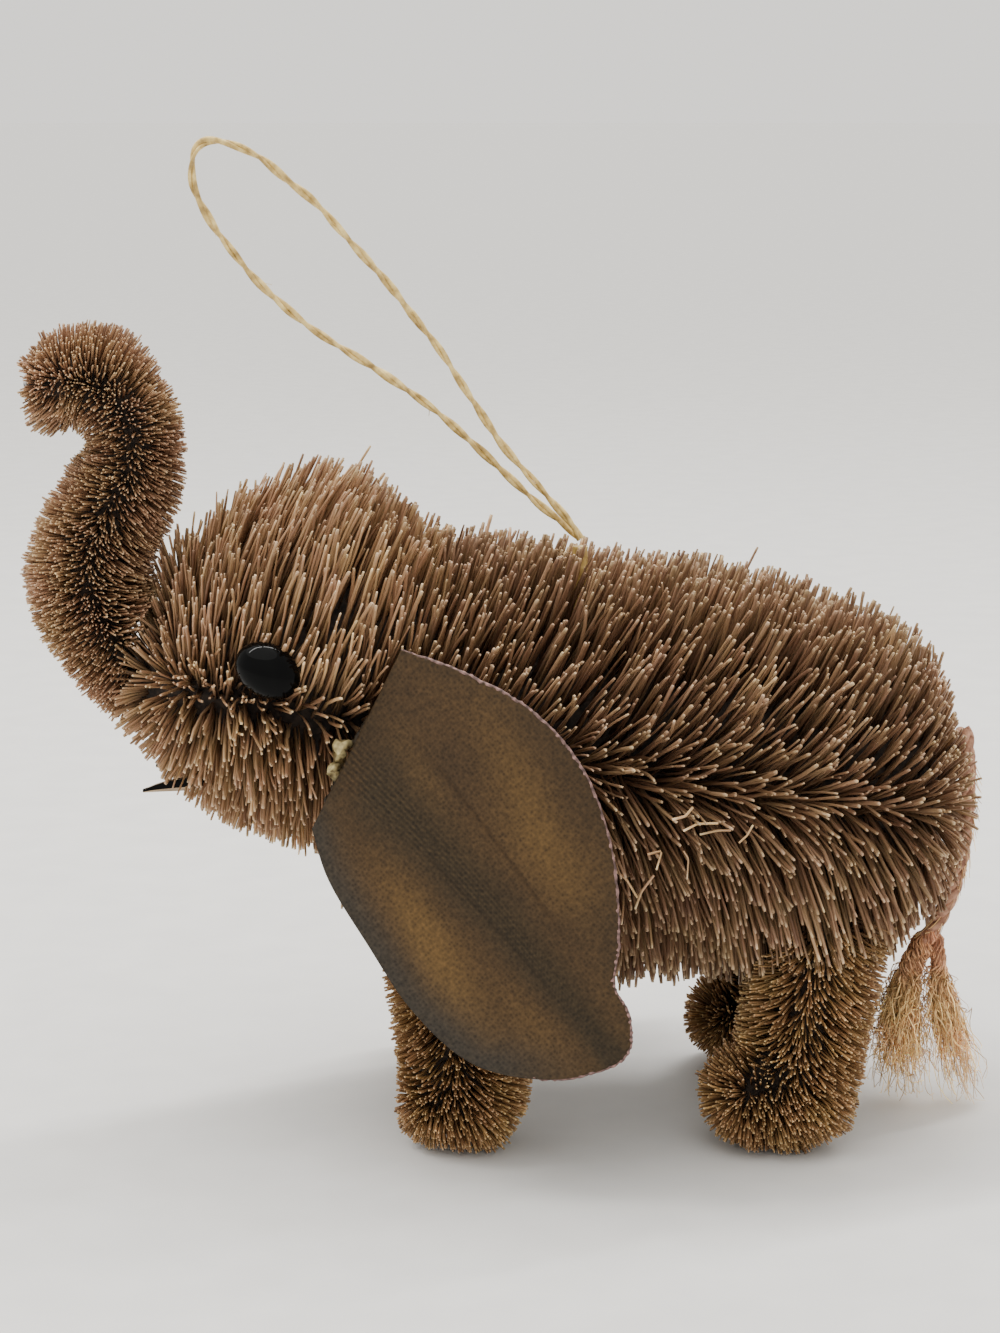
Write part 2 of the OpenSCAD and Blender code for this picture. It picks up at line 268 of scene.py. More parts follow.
def run_of(path):
    """How far along a path each of its points lies."""
    return np.concatenate([[0], np.cumsum(np.linalg.norm(np.diff(path, axis=0), axis=1))])


def rise(values, start, width):
    """0 up to start mm, then growing to 1 over width mm."""
    return np.clip((values - start * MM) / (width * MM), 0, 1)


def fall(values, end, width):
    """1 at first, then shrinking to 0 over the width mm before end mm."""
    return np.clip((end * MM - values) / (width * MM), 0, 1)


def bell(values, middle, width):
    """1 at middle mm, and dying away over width mm on both sides."""
    return np.exp(-(((values - middle * MM) / (width * MM)) ** 2))


def to_side(side):
    """The matrix that takes a shape made for the left side to the side named."""
    return Matrix.Scale(-1, 4, (0, 1, 0)) if side == "right" else Matrix.Identity(4)


def set_in_place(mesh, matrix, side):
    """Moves a mesh by the matrix, and turns its faces round where the matrix mirrors it."""
    mesh.transform(matrix)
    if side == "right":
        mesh.flip_normals()


def write_values(mesh, label, values):
    """Stores a number at each vertex, for a material to read."""
    mesh.attributes.new(label, "FLOAT", "POINT").data.foreach_set("value", values.astype(np.float32))


def on_tubes(values, sides):
    """A value for each vertex of strand_mesh's tubes and their caps, from strands x stations of them."""
    each = np.concatenate([values.ravel(), values[:, [0, -1]].ravel()])
    return np.repeat(each, sides).astype(np.float32)


def link(mesh, name, material, body, slot, *replaced):
    """An object with that mesh, riding on a body and standing for the CAD nodes it replaces."""
    piece = bpy.data.objects.new(name, mesh)
    bpy.context.collection.objects.link(piece)
    for one in material if isinstance(material, list) else [material]:
        mesh.materials.append(one)
    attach(piece, body)
    if replaced:
        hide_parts(*replaced)
    return piece


def carried(headings):
    """For each strand, a direction across it that is carried along without twisting."""
    count, stations, _ = headings.shape
    side = np.empty_like(headings)
    start = rng.normal(size=(count, 3))
    side[:, 0] = unit(start - dot(start, headings[:, 0]) * headings[:, 0])
    for i in range(1, stations):
        across = side[:, i - 1]
        side[:, i] = unit(across - dot(across, headings[:, i]) * headings[:, i])
    return side


def strand_mesh(name, paths, radii, sides, flat=1.0, shade=None, along=None):
    """One mesh of closed tubes. paths is strands x stations x 3, and radii strands x stations.

    along, from root to tip, has a value for each station, and shade has one for each strand.
    """
    count, stations, _ = paths.shape
    headings = unit(np.gradient(paths, axis=1))
    side = carried(headings)
    up = np.cross(headings, side)
    turn = 2 * math.pi * np.arange(sides) / sides
    across = np.cos(turn)[:, None] * side[:, :, None] + flat * np.sin(turn)[:, None] * up[:, :, None]
    rings = paths[:, :, None] + radii[:, :, None, None] * across
    caps = rings[:, [0, -1]]
    points = np.concatenate([rings.reshape(-1, 3), caps.reshape(-1, 3)])

    ring = np.arange(count * stations).reshape(count, stations)[:, :-1].ravel() * sides
    k = np.arange(sides)
    after = (k + 1) % sides
    walls = ring[:, None, None] + np.stack([k, after, after + sides, k + sides], axis=-1)
    first_cap = count * stations * sides
    ends = first_cap + np.arange(2 * count * sides).reshape(count, 2, sides)
    ends[:, 0] = ends[:, 0, ::-1]

    corners = np.concatenate([walls.ravel(), ends.ravel()])
    starts = np.concatenate([4 * np.arange(walls.size // 4),
                             walls.size + sides * np.arange(2 * count)])
    mesh = bpy.data.meshes.new(name)
    mesh.vertices.add(len(points))
    mesh.vertices.foreach_set("co", points.ravel())
    mesh.loops.add(len(corners))
    mesh.loops.foreach_set("vertex_index", corners)
    mesh.polygons.add(len(starts))
    mesh.polygons.foreach_set("loop_start", starts)
    mesh.polygons.foreach_set("use_smooth", np.ones(len(starts), bool))

    along = np.linspace(0, 1, stations) if along is None else along
    shade = np.full(count, 0.5) if shade is None else shade
    for label, values in (("along", along[None]), ("shade", shade[:, None])):
        write_values(mesh, label, on_tubes(np.broadcast_to(values, (count, stations)), sides))
    mesh.update(calc_edges=True)
    return mesh


def helix_paths(path, radius, turns, strands):
    """Strands twisted round a path: their own paths, strands x stations x 3."""
    headings = unit(np.gradient(path, axis=0))[None]
    side = carried(headings)[0]
    up = np.cross(headings[0], side)
    run = run_of(path)
    made = []
    for strand in range(strands):
        angle = 2 * math.pi * (strand / strands + turns * run / run[-1])
        made.append(path + radius * (np.cos(angle)[:, None] * side + np.sin(angle)[:, None] * up))
    return np.array(made)


def walls_between(rings, corners):
    """The faces between one ring of corners and the next."""
    faces = []
    for ring in range(rings - 1):
        for k in range(corners):
            a, b = ring * corners + k, ring * corners + (k + 1) % corners
            faces.append((a, b, b + corners, a + corners))
    return faces


def closed_mesh(name, points, faces, smooth_faces=True):
    mesh = bpy.data.meshes.new(name)
    mesh.from_pydata([tuple(p) for p in points], [], faces)
    mesh.polygons.foreach_set("use_smooth", np.full(len(faces), smooth_faces))
    mesh.update()
    return mesh


# ---- Hanging loop and tail ----

LOOP_ROUTE = np.array([
    [13.2, -1, 93.2], [11.5, -1, 96], [7.5, -1, 100.5], [3.5, -0.8, 105], [-0.5, -0.5, 110],
    [-6, 0, 118.5], [-10.5, 0, 125], [-18.5, 0, 135], [-24, 0, 141], [-28, 0, 145.5],
    [-32.5, 0, 149], [-36.5, 0, 152.3], [-41, 0, 154.3], [-44.5, 0, 154.5], [-46.4, 0, 152.5],
    [-46.6, 0, 148], [-44.5, 0, 143.5], [-42, 0, 139.5], [-38, 0, 134.5], [-33.5, 0, 130],
    [-29.5, 0, 126.7], [-24, 0, 123], [-18, 0, 119.3], [-12.5, 0, 115.5], [-8, 0.3, 112],
    [-2.5, 0.6, 107], [2.5, 0.8, 102.3], [6.5, 1, 98.6], [10.3, 1, 95.6], [13.2, 1, 93.2],
]) * MM
TAIL_ROUTE = np.array([
    [74.6, 0, 62.5], [75.2, 0, 58], [75.4, 0, 52], [75.2, 0, 46], [74.5, 0, 40], [73, 0, 34.5],
    [71.1, 0, 30.5], [69.3, 0, 27.4],
]) * MM


def loose_ends(path):
    """Fine fibres that stand off the raffia."""
    count, stations = 26, 6
    where = rng.integers(10, len(path) - 10, count)
    reach = rng.uniform(0.6, 2.6, (count, 1, 1)) * MM
    t = np.linspace(0, 1, stations)[None, :, None]
    along = unit(path[where + 3] - path[where])[:, None]
    away = unit(rng.normal(size=(count, 1, 3)))
    paths = path[where][:, None] + reach * t * (0.8 * along + 0.6 * t * away)
    radii = 0.08 * MM * (1.2 - 0.8 * t[..., 0]) * np.ones((count, 1))
    mesh = strand_mesh("hanging_loop_frays", paths, radii, 4)
    return link(mesh, "hanging_loop_frays", RAFFIA, "loop", "raffia")


def make_loop():
    path = smooth(LOOP_ROUTE, 6)
    strands = helix_paths(path, 0.33 * MM, 14, 2)
    widths = 0.43 * MM * (1 + 0.12 * np.sin(np.linspace(0, 60, len(path))))
    mesh = strand_mesh("hanging_loop_raffia", strands, np.tile(widths, (2, 1)), 8, flat=0.75)
    loop = link(mesh, "hanging_loop_raffia", RAFFIA, "loop", "raffia", "hanging_loop")
    loose_ends(path)


def tassel(node, bend, foot_x, turn, thick, wide, count):
    """A strand of twisted yarn that bends on its way down and frays into loose, curling fibres."""
    name = f"{node}_fibres"
    top = TAIL_ROUTE[-2] + 0.25 * (TAIL_ROUTE[-1] - TAIL_ROUTE[-2])
    bend = np.array([bend[0], 0, bend[1]]) * MM
    foot = np.array([foot_x * MM, 0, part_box(node)[0].z])
    thick, wide = thick * MM, wide * MM
    t = np.linspace(0, 1, 34)[None, :, None]
    start = rng.uniform(0, 2 * math.pi, (count, 1, 1))
    share = np.sqrt(rng.uniform(0, 1, (count, 1, 1)))
    fray = np.clip((t - 0.4) / 0.6, 0, 1) ** 0.8
    spread = thick / 2 * (0.5 + 0.5 * np.clip(t / 0.12, 0, 1)) + (wide - thick / 2) * fray
    angle = start + turn * 9 * np.minimum(t, 0.5)
    down = t * rng.uniform(0.66, 0.97, (count, 1, 1))
    around = np.concatenate([np.cos(angle), np.sin(angle), 0 * angle], axis=-1)
    ply = 1 + 0.4 * np.cos(2 * (angle - turn * 26 * t)) * (1 - fray)
    line = (1 - down) ** 2 * top + 2 * down * (1 - down) * bend + down**2 * foot
    paths = line + ply * spread * share * around
    paths = paths + fray * 2.2 * MM * wander(paths + rng.normal(size=(count, 1, 3)) * 3 * MM, 7 * MM)
    curl = rng.uniform(0.2, 1, (count, 1, 1)) * np.sin(rng.uniform(14, 38, (count, 1, 1)) * t + start)
    paths = paths + 1.7 * MM * fray * curl * unit(rng.normal(size=(count, 1, 3)))
    paths[..., 2] = np.maximum(paths[..., 2], 0.4 * MM)
    radii = 0.12 * MM * rng.uniform(0.6, 1.4, (count, 1)) * (1.3 - 0.9 * t[..., 0])
    mesh = strand_mesh(name, paths, radii, 3, shade=rng.uniform(0, 1, count), along=t[0, :, 0] ** 1.5)
    return link(mesh, name, TASSEL_FIBRE, "tassels", "tassel_fibre", node)


def tail_fuzz(path):
    """Loose fibres that lift off the tail's yarn."""
    count, stations = 150, 7
    where = rng.integers(4, len(path) - 8, count)
    t = np.linspace(0, 1, stations)[None, :, None]
    reach = rng.uniform(2, 6, (count, 1, 1)) * MM
    along = unit(path[where + 4] - path[where])[:, None]
    away = unit(rng.normal(size=(count, 1, 3)))
    paths = path[where][:, None] + 1.1 * MM * away + reach * t * along
    paths = paths + 1.1 * MM * t**2 * away * rng.uniform(0, 1, (count, 1, 1))
    paths = paths + 0.5 * MM * t * wander(paths, 5 * MM)
    radii = 0.1 * MM * (1.2 - 0.8 * t[..., 0]) * np.ones((count, 1))
    mesh = strand_mesh("tail_fuzz", paths, radii, 3, shade=rng.uniform(0, 1, count))
    return link(mesh, "tail_fuzz", TASSEL_FIBRE, "tail", "tail_fibre")


def make_tail():
    path = smooth(TAIL_ROUTE, 8)
    strands = helix_paths(path, 0.68 * MM, 4.5, 3)
    radii = np.full(strands.shape[:2], 0.72 * MM)
    radii *= 1 + 0.06 * np.sin(np.linspace(0, 40, len(path)))
    mesh = strand_mesh("tail_twine", strands, radii, 10)
    twine = link(mesh, "tail_twine", TAIL_TWINE, "tail", "tail_fibre", "tail_cord")
    front = tassel("front_tassel", bend=(63.6, 19.3), foot_x=64.8, turn=1, thick=3.2, wide=4.4, count=440)
    rear = tassel("rear_tassel", bend=(72.4, 19.3), foot_x=75.3, turn=-1, thick=2, wide=3.2, count=240)
    fuzz = tail_fuzz(path)


# ---- Brushes ----

WAVES = [(rng.normal(size=3), rng.normal(size=3), rng.uniform(0, 2 * math.pi)) for _ in range(9)]
MOST_TRIANGLES = 190_000
BRISTLE_STATIONS = np.array([0, 0.45, 0.8, 0.97, 1.0])


def wander(points, wavelength):
    """A smooth random direction at each point, about 1 long, that changes over a wavelength."""
    total = np.zeros_like(points)
    for direction, wave, phase in WAVES:
        total += direction * np.sin(points @ wave * (2 * math.pi / wavelength / 1.7) + phase)[..., None]
    return total / math.sqrt(len(WAVES) / 2)


def places_of(mesh):
    """The places of a mesh's vertices."""
    places = np.zeros(len(mesh.vertices) * 3)
    mesh.vertices.foreach_get("co", places)
    return places.reshape(-1, 3)


def node_triangles(node):
    """The corners of a CAD node's triangles, triangles x 3 x 3."""
    mesh = frame["nodes"][node].data
    mesh.calc_loop_triangles()
    triangles = np.zeros(len(mesh.loop_triangles) * 3, np.int32)
    mesh.loop_triangles.foreach_get("vertices", triangles)
    return places_of(mesh)[triangles].reshape(-1, 3, 3)


def spaced_out(points, gap):
    """The indices of points that keep a gap from each other, taken in order."""
    near = {}
    kept = []
    cells = np.floor(points / gap).astype(int)
    offsets = [(i, j, k) for i in (-1, 0, 1) for j in (-1, 0, 1) for k in (-1, 0, 1)]
    for index, (x, y, z) in enumerate(cells.tolist()):
        here = points[index]
        close = (near[c] for c in ((x + i, y + j, z + k) for i, j, k in offsets) if c in near)
        if all((here - other) @ (here - other) > gap * gap for one in close for other in one):
            near.setdefault((x, y, z), []).append(here)
            kept.append(index)
    return np.array(kept)


def nearest_on(core, points):
    """For each point, the nearest point of the core line."""
    best = np.full(len(points), np.inf)
    feet = np.zeros_like(points)
    for a, b in zip(core, core[1:]):
        t = np.clip((points - a) @ (b - a) / np.linalg.norm(b - a) ** 2, 0, 1)
        on = a + t[:, None] * (b - a)
        away = np.linalg.norm(points - on, axis=1)
        closer = away < best
        best[closer] = away[closer]
        feet[closer] = on[closer]
    return feet


def buried(points, nodes, margin):
    """Which points lie inside one of the CAD nodes, or within a margin of its surface."""
    hidden = np.zeros(len(points), bool)
    for node in nodes:
        mesh = frame["nodes"][node].data
        tree = BVHTree.FromPolygons([v.co for v in mesh.vertices], [p.vertices for p in mesh.polygons])
        for index, point in enumerate(points):
            place, normal, _, away = tree.find_nearest(Vector(point))
            hidden[index] |= away < margin or (Vector(point) - place).dot(normal) < 0
    return hidden


def scatter_tips(node, core, gap, comb, neighbours, thin):
    """Tips spread over a brush's trimmed surface, their feet on its wire, and their headings."""
    corners = node_triangles(node)
    across = np.cross(corners[:, 1] - corners[:, 0], corners[:, 2] - corners[:, 0])
    areas = np.linalg.norm(across, axis=1) / 2
    count = int(4 * areas.sum() / gap**2)
    chosen = rng.choice(len(areas), count, p=areas / areas.sum())
    u, v = rng.random((2, count, 1))
    u, v = np.where(u + v > 1, 1 - u, u), np.where(u + v > 1, 1 - v, v)
    a, b, c = (corners[chosen, k] for k in range(3))
    tips = a + u * (b - a) + v * (c - a)
    outwards = unit(across)[chosen]
    kept = spaced_out(tips, gap)
    tips, outwards = tips[kept], outwards[kept]
    feet = nearest_on(core, tips)
    headings = unit(unit(tips - feet) + comb(tips, unit(tips - feet)))
    kept = dot(headings, outwards)[:, 0] > 0.12
    kept &= ~buried(tips, neighbours, 0.4 * MM)
    if thin is not None:
        kept &= rng.random(len(tips)) < thin(tips, unit(tips - feet))
    return tips[kept], feet[kept], headings[kept]


def pokes_out(tips):
    """Which tips would come through an ear or stand in front of an eye."""
    through = np.zeros(len(tips), bool)
    edge = ear_edge()
    for side in SIDES:
        local = in_frame(hinge_frame(side), tips)
        x, z = local[:, 0], local[:, 2]
        reached = np.flatnonzero((x > 0.5 * MM) & (x < EAR_SPAN) & (local[:, 1] < 1.2 * MM))
        for index in reached:
            away = local[index, 1] + ear_height(x[index], z[index])
            through[index] |= away < 0.9 * MM and inside(edge, local[index, [0, 2]])
        local = in_frame(eye_frame(side), tips)
        oval = (2 * local[:, 0] / EYE_LONG) ** 2 + (2 * local[:, 1] / EYE_SHORT) ** 2
        through |= (oval < 1.3) & (local[:, 2] > -2 * MM)
    return through


def in_frame(matrix, points):
    """The points in a frame's own coordinates."""
    back = np.array(matrix.inverted())
    return points @ back[:3, :3].T + back[:3, 3]


def tree_of(points):
    tree = KDTree(len(points))
    for index, point in enumerate(points):
        tree.insert(point, index)
    tree.balance()
    return tree


def clumped(tips, size):
    """For each tip, the way to the middle of the clump that it belongs to."""
    centres = tips[spaced_out(tips, size)]
    tree = tree_of(centres)
    return np.array([centres[tree.find(tip)[1]] for tip in tips]) - tips


def evened(tips, headings, around):
    """The headings turned towards their neighbours', so that no slit opens where the wire bends."""
    tree = tree_of(tips)
    near = [[index for _, index, _ in tree.find_range(tip, around)] for tip in tips]
    return unit(np.array([headings[some].mean(axis=0) for some in near]))


def bristles(node, core, slot, material, gap, width, comb, reach, clump, pull, short,
             thin=None, even=None, neighbours=(), sides=4, start=0.5, tuft=0.6):
    """The bristles of one brush of the elephant, in pieces of a size that exports well.

    Sizes are in mm. gap and width are a bristle's, comb turns its heading, reach makes it longer
    and thin says how many grow. The tips of a clump draw together by pull, and short is how
    unevenly they are cut.
    """
    gap, width, clump, tuft, short = (size * MM for size in (gap, width, clump, tuft, short))
    name = node.removesuffix("s")
    tips, feet, headings = scatter_tips(node, core, gap, comb, neighbours, thin)
    if even is not None:
        headings = evened(tips, headings, even * MM)
    order = np.argsort(tips[:, 0])
    tips, feet, headings = tips[order], feet[order], headings[order]
    count = len(tips)
    whole = np.linalg.norm(tips - feet, axis=1, keepdims=True)
    drawn = pull * rng.uniform(0.2, 1, (count, 1)) * clumped(tips, clump)
    drawn += tuft * wander(tips, 6 * MM) + 0.35 * tuft * rng.normal(size=tips.shape)
    headings = unit(headings + 0.05 * rng.normal(size=tips.shape))
    roots = tips + 0.6 * drawn - (1 - start) * whole * headings
    tips = tips + drawn
    longer = 0.3 * short * wander(tips, 9 * MM)[:, :1]
    longer = longer - short * rng.exponential(1, (count, 1)) + 0.5 * short
    longer = np.maximum(longer, -0.3 * whole) + reach(tips, headings)[:, None]
    stray = (rng.random((count, 1)) < 0.016) * (headings[:, 2:] > 0)
    longer = longer + stray * rng.uniform(0.5, 1.8, (count, 1)) * short
    tips = tips + longer * headings + 0.6 * stray * short * rng.normal(size=tips.shape)
    clear = ~pokes_out(tips)
    tips, roots, whole, count = tips[clear], roots[clear], whole[clear], int(clear.sum())
    stations = BRISTLE_STATIONS
    paths = roots[:, None] + (tips - roots)[:, None] * stations[:, None]
    bow = 0.012 * whole * rng.normal(size=tips.shape)
    paths += bow[:, None] * (4 * stations * (1 - stations))[:, None]
    paths[..., 2] = np.maximum(paths[..., 2], 0.35 * MM)
    radii = width / 2 * rng.uniform(0.7, 1.25, (count, 1)) * np.array([[1, 1, 1, 0.98, 0.8]])
    shade = np.clip(0.45 + 0.2 * rng.normal(size=count) + 0.1 * wander(tips, 14 * MM)[:, 0], 0, 1)
    triangles = 2 * sides * (len(stations) - 1) + 2 * (sides - 2)
    parts = math.ceil(count / (MOST_TRIANGLES // triangles))
    for part, some in enumerate(np.array_split(np.arange(count), parts)):
        mesh = strand_mesh(name, paths[some], radii[some], sides, flat=0.75, shade=shade[some],
                           along=stations)
        replaced = (node,) if part == 0 else ()
        link(mesh, f"{name}_{part + 1}", material, "elephant", slot, *replaced)


def dense_middle(node, core, slot, share, low=None):
    """The packed inside of a brush, near black as painted shade of its depths, kept low where the rest of
    it is hidden in another brush.
    """
    points = node_triangles(node).reshape(-1, 3)
    feet = nearest_on(core, points)
    points = feet + (points - feet) * share
    if low is not None:
        points[:, 2] -= 0.7 * np.maximum(points[:, 2] - low, 0)
    faces = np.arange(len(points)).reshape(-1, 3).tolist()
    mesh = closed_mesh(f"{node}_middle", points, faces, smooth_faces=False)
    # Near black: painted shade of the gaps deep in the brush.
    link(mesh, f"{node}_middle", PAINTED_SHADE_PILE, "elephant", slot)


def spine_line():
    lo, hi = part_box("spine_wire")
    radius = (hi.y - lo.y) / 2
    return np.array([[lo.x, 0, hi.z - radius], [hi.x, 0, lo.z + radius]])


def table(values, at, of):
    """A value for each entry, read from a table of (entry, value) pairs."""
    pairs = np.array(of)
    return np.interp(values, pairs[:, 0] * at, pairs[:, 1])


def leaning(x, z):
    """Headings with those parts along X and Z."""
    return np.stack([x, 0 * x, z], axis=1)


def body_comb(tips, out):
    """The flanks' bristles lie back towards the tail, and up or down away from the middle."""
    back = table(tips[:, 0], MM, [(-10, 0.55), (10, 0.85), (50, 1)])
    back *= table(out[:, 2], 1, [(-1, 0.12), (-0.5, 0.36), (0, 0.5), (0.5, 0.46), (1, 0.17)])
    lift = table(out[:, 2], 1, [(-1, 0), (-0.5, -0.4), (-0.15, -0.22), (0.03, 0), (0.45, 0.5), (1, 0)])
    return leaning(back, lift)


def head_comb(tips, out):
    """The head's bristles spread from the cheek, up over the brow and down the chin."""
    x = tips[:, 0]
    above = table(x, MM, [(-60, -0.5), (-47, 0), (-39, 0.26), (-26, 0.42), (-11, 0.26)])
    below = table(x, MM, [(-58, -0.7), (-50, -0.26), (-43, -0.05), (-34, 0.06), (-20, 0.14)])
    share = table(out[:, 2], 1, [(-0.8, 0), (0.15, 0.5), (1, 1)])
    lift = table(out[:, 2], 1, [(-1, 0), (-0.45, -0.4), (-0.15, -0.12), (0.12, 0), (0.3, 0.15),
                                (0.5, 0.6), (0.75, 0.7), (1, 0)])
    return leaning(share * above + (1 - share) * below, lift)


def lower_lip(tips):
    """How much each tip belongs to the lower edge of the trunk's cut end, from 0 to 1."""
    return fall(tips[:, 0], -66.5, 2.5) * fall(tips[:, 2], 115, 3) * (tips[:, 2] > 104 * MM)


def trunk_comb(tips, out):
    """Straight out from the wire, and forwards at the trunk's very end and its lower lip."""
    forwards = table(tips[:, 0], MM, [(-75, -0.5), (-71, -0.25), (-66, 0)]) * (tips[:, 2] > 100 * MM)
    return leaning(forwards - 1.1 * lower_lip(tips), 0 * forwards)


def leg_comb(tips, out):
    """Out from the wire, and a little down."""
    down = table(tips[:, 2], MM, [(0, 0), (12, 0), (20, -0.12), (40, -0.25)])
    return leaning(0 * down, down)


TRUNK_LINE = np.array([
    [-53, 0, 69.5], [-58, 0, 74], [-62, 0, 79.5], [-64.2, 0, 86], [-63.4, 0, 92], [-61, 0, 97.5],
    [-58, 0, 102.5], [-56.6, 0, 107.5], [-58, 0, 113], [-62.3, 0, 117], [-67.5, 0, 118],
    [-70.6, 0, 117.5],
]) * MM


def leg_line(node, front):
    """The line of a left leg's wire inside its brush: down the shaft, then forwards to the toe."""
    lo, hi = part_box(node)
    if front:
        line = [[-8.5, 0, 45], [-7, 0, 22], [-6, 0, 13], [-6.6, 0, 9], [-9.5, 0, 8]]
    else:
        line = [[52, 0, 45], [48.2, 0, 22], [46.4, 0, 13], [44.6, 0, 9.4], [39.5, 0, 8.4]]
    line = np.array(line) * MM
    line[:, 1] = (lo.y + hi.y) / 2
    return smooth(line, 4)


def broken_bristles():
    """A few snapped, pale bristles that lie across the left flank."""
    surface = node_triangles("body_bristles").mean(axis=1)
    middle = np.array([29, -31, 50]) * MM
    near = np.flatnonzero((np.abs(surface - middle) < np.array([9, 8, 8]) * MM).all(axis=1))
    count = 8
    feet = surface[rng.choice(near, count)]
    first = unit(rng.normal(size=(count, 3)) * [1, 0.25, 1])
    second = unit(first + 0.6 * rng.normal(size=(count, 3)) * [1, 0.3, 1])
    lengths = rng.uniform(1.2, 3.4, (count, 2, 1)) * MM
    kink = feet + lengths[:, 0] * first
    end = kink + lengths[:, 1] * second
    paths = np.stack([feet, feet + 0.9 * (kink - feet), kink + 0.1 * (end - kink), end], axis=1)
    radii = np.full((count, 4), 0.21 * MM)
    mesh = strand_mesh("broken_bristles", paths, radii, 5, flat=0.6,
                       shade=rng.uniform(0.6, 0.95, count), along=np.array([0.8, 0.85, 0.9, 1.0]))
    link(mesh, "broken_bristles", HEAD_FIBRE, "elephant", "body_fibre")


def flank_thin(tips, out):
    """The flanks carry fewer tips than the back and the belly, so the bristles' shafts show there."""
    return table(out[:, 2], 1, [(-1, 0.95), (-0.6, 0.88), (-0.3, 0.72), (-0.1, 0.55),
                                (0.12, 0.55), (0.3, 0.62), (0.8, 0.62), (1, 1)])


def brow_thin(tips, out):
    """Fewer tips on the brow, along the parting of the cheek and beside the ear."""
    kept = table(out[:, 2], 1, [(-1, 1), (-0.35, 0.9), (-0.1, 0.55), (0.2, 0.5), (0.35, 0.6),
                                (0.6, 0.5), (0.85, 0.6), (1, 1)])
    by_ear = rise(tips[:, 0], -31, 4) * (np.abs(tips[:, 1]) > 16 * MM) * bell(tips[:, 2], 68, 9)
    return kept * (1 - 0.45 * by_ear)


def head_reach(tips, headings):
    """The crest and the brow stand taller than the trimmed shape, which slopes down to the neck."""
    crest = table(tips[:, 0], MM, [(-40, 1), (-28, 2.1), (-20, 1.2), (-13, -1), (-8, -1.8)]) * MM
    crest *= rise(tips[:, 2], 90, 8)
    brow = 1.5 * MM * bell(tips[:, 0], -45, 7) * (tips[:, 2] > 84 * MM)
    return crest + brow * rng.random(len(tips))


def body_reach(tips, headings):
    """The bristles hang in front of the hind legs' tops, stand up to the tail and fill in the neck."""
    x, y, z = tips[:, 0], np.abs(tips[:, 1]), tips[:, 2]
    over_leg = bell(x, 52, 14) * (y > 16 * MM) * fall(z, 46, 8)
    rump = rise(x, 64, 5) * fall(z, 64, 8) * (y > 1.6 * MM)
    neck = bell(x, -6, 6) * np.clip((headings[:, 2] - 0.5) / 0.3, 0, 1)
    return 6 * MM * over_leg + 3.7 * MM * rump + 2.2 * MM * neck


def trunk_reach(tips, headings):
    """The bend and the lower lip stand taller than the tip, and the throat side is fuller."""
    x, z = tips[:, 0], tips[:, 2]
    bend = bell(x, -61.5, 8.5) * (z > 119 * MM)
    end = fall(x, -70.6, 0.6) * (z > 117 * MM)
    back = bell(z, 96, 7) * (headings[:, 0] > 0.4)
    foot = bell(z, 78.5, 6.5) * (headings[:, 0] > 0.2)
    return (2.4 * bend - 1.4 * end + 1.1 * back + 4.2 * foot + 1.5 * lower_lip(tips)) * MM


def leg_thin(tips, out):
    """The legs end inside the body, and the front toes are open round their wire ends."""
    toe = (tips[:, 0] < 0) & (tips[:, 2] < 14 * MM) & (out[:, 0] < -0.8)
    return table(tips[:, 2], MM, [(20, 1), (28, 0.75), (32, 0.7), (36, 0)]) * np.where(toe, 0.45, 1)


def leg_reach(tips, headings):
    """The front legs narrow at the ankle, over the toe."""
    ankle = bell(tips[:, 2], 14.5, 3) * (tips[:, 0] < 0)
    return -0.3 * MM * ankle * np.clip(-headings[:, 0] - 0.2, 0, 1)


def make_brushes():
    spine = spine_line()
    trunk = smooth(TRUNK_LINE, 4)
    bristles("body_bristles", spine, "body_fibre", BODY_FIBRE, gap=0.95, width=0.57, clump=3,
             pull=0.5, short=1.3, comb=body_comb, reach=body_reach, thin=flank_thin)
    dense_middle("body_bristles", spine, "body_fibre", 0.49)
    broken_bristles()
    bristles("head_bristles", spine, "body_fibre", HEAD_FIBRE, gap=0.88, width=0.52, clump=3.4,
             pull=0.5, short=1.7, comb=head_comb, reach=head_reach, thin=brow_thin,
             neighbours=["body_bristles"])
    dense_middle("head_bristles", spine, "body_fibre", 0.56)
    fine = {"clump": 2, "tuft": 0.4, "short": 0.4, "sides": 3}
    bristles("trunk_bristles", trunk, "trunk_fibre", TRUNK_FIBRE, gap=0.54, width=0.38,
             pull=0.3, start=0.35, comb=trunk_comb, reach=trunk_reach, **fine)
    dense_middle("trunk_bristles", trunk, "trunk_fibre", 0.55)
    for leg in [f"{end}_{side}_leg" for end in ("front", "rear") for side in SIDES]:
        node = f"{leg}_bristles"
        line = leg_line(node, leg.startswith("front"))
        bristles(node, line, "leg_fibre", LEG_FIBRE, gap=0.64, width=0.43, pull=0.35, start=0.4,
                 comb=leg_comb, reach=leg_reach, thin=leg_thin, even=3,
                 neighbours=["body_bristles"], **fine)
        dense_middle(node, line, "leg_fibre", 0.45, low=30 * MM)


# ---- Ears ----

EAR_OUTLINE = np.array([
    [0, 30.6], [11, 32.4], [22.5, 32.4], [33, 28.5], [42, 20], [48.8, 9], [51.3, 2.4], [55.6, -1],
    [57.5, -7], [50.5, -14.4], [39, -18.4], [27, -16], [15.5, -10.4], [6, -5.3], [0, 0],
]) * MM
EAR_SPAN = 57.5 * MM
EAR_BULGE = 2.75 * MM
EAR_FLARE = math.radians(16)
EAR_THICKNESS = 1.0 * MM
# Patches of painted light on the ear: (place from the hinge in mm, size in mm, strength).
EAR_PAINTED_LIGHT = [((12, 15), 3, 0.5), ((31, -11), 4.5, 0.75), ((22, -4), 3.5, 0.8), ((34, 15), 4.5, 0.75),
            ((24, 24), 3.5, 0.45), ((44, -9), 3, 0.4)]


